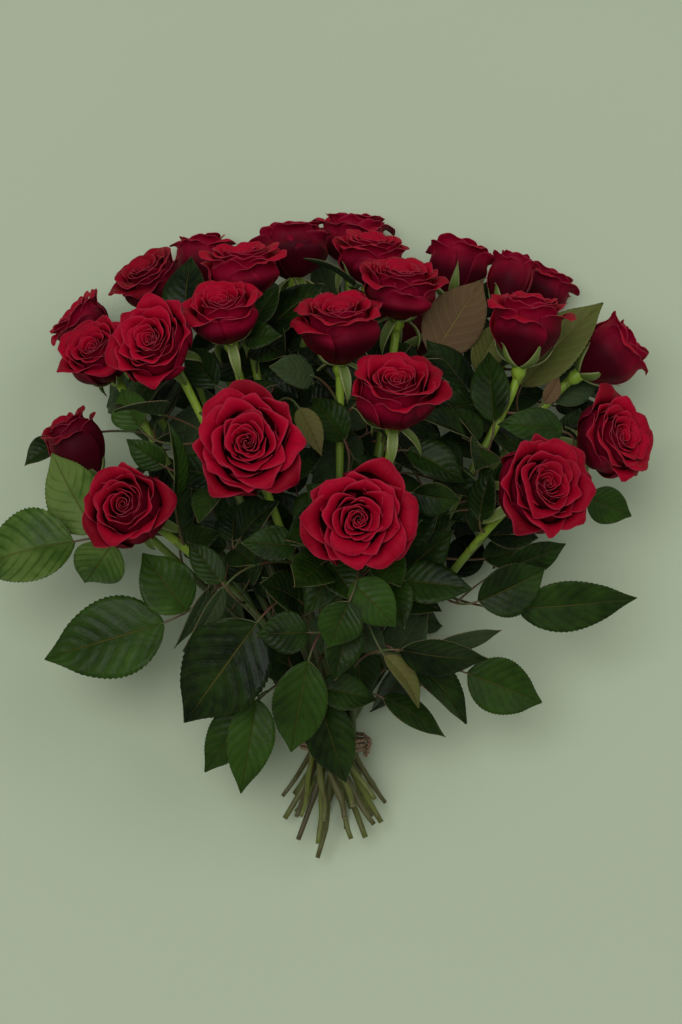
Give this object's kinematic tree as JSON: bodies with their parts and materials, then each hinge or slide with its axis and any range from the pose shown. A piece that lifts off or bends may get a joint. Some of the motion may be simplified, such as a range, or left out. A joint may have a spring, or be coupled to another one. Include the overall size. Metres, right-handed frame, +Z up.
{
  "type": "bunch of roses",
  "caption": "Hand-tied domed bunch of long-stemmed red roses with serrated leaves, laid on its side, twine round the stems.",
  "frame": {"origin": "on the table, under the middle of the bunch's bounding box", "axes": "+Y along the bunch from the cut stem ends to the blooms, +X across it, +Z up from the table"},
  "size_m": [0.4724, 0.488, 0.2248],
  "materials": {
    "petals": "velvety dark red petals, lighter at the rims",
    "leaves_and_stems": "waxy dark green leaves, paler green stems",
    "twine": "twisted natural twine"
  },
  "bodies": {
    "root": {"bloom_front_centre": "petals", "bloom_front_left": "petals", "bloom_front_right": "petals", "bloom_low_left": "petals", "bloom_mid_front": "petals", "bloom_centre": "petals", "bloom_mid_top": "petals", "bloom_left_mid": "petals", "bloom_left_top": "petals", "bloom_left_front": "petals", "bloom_left_side": "petals", "bloom_left_far": "petals", "bloom_left_back": "petals", "bloom_back_left": "petals", "bloom_top_left": "petals", "bloom_back_top": "petals", "bloom_top": "petals", "bloom_top_right": "petals", "bloom_right_mid": "petals", "bloom_right_bud": "petals", "bloom_back_right": "petals", "bloom_right_far": "petals", "bloom_right_side": "petals", "bloom_left_bud": "petals", "bloom_back_low": "petals", "leafy_stem_front_centre": "leaves_and_stems", "leafy_stem_front_left": "leaves_and_stems", "leafy_stem_front_right": "leaves_and_stems", "leafy_stem_low_left": "leaves_and_stems", "leafy_stem_mid_front": "leaves_and_stems", "leafy_stem_centre": "leaves_and_stems", "leafy_stem_mid_top": "leaves_and_stems", "leafy_stem_left_mid": "leaves_and_stems", "leafy_stem_left_top": "leaves_and_stems", "leafy_stem_left_front": "leaves_and_stems", "leafy_stem_left_side": "leaves_and_stems", "leafy_stem_left_far": "leaves_and_stems", "leafy_stem_left_back": "leaves_and_stems", "leafy_stem_back_left": "leaves_and_stems", "leafy_stem_top_left": "leaves_and_stems", "leafy_stem_back_top": "leaves_and_stems", "leafy_stem_top": "leaves_and_stems", "leafy_stem_top_right": "leaves_and_stems", "leafy_stem_right_mid": "leaves_and_stems", "leafy_stem_right_bud": "leaves_and_stems", "leafy_stem_back_right": "leaves_and_stems", "leafy_stem_right_far": "leaves_and_stems", "leafy_stem_right_side": "leaves_and_stems", "leafy_stem_left_bud": "leaves_and_stems", "leafy_stem_back_low": "leaves_and_stems", "tie": "twine"}
  },
  "joints": []
}
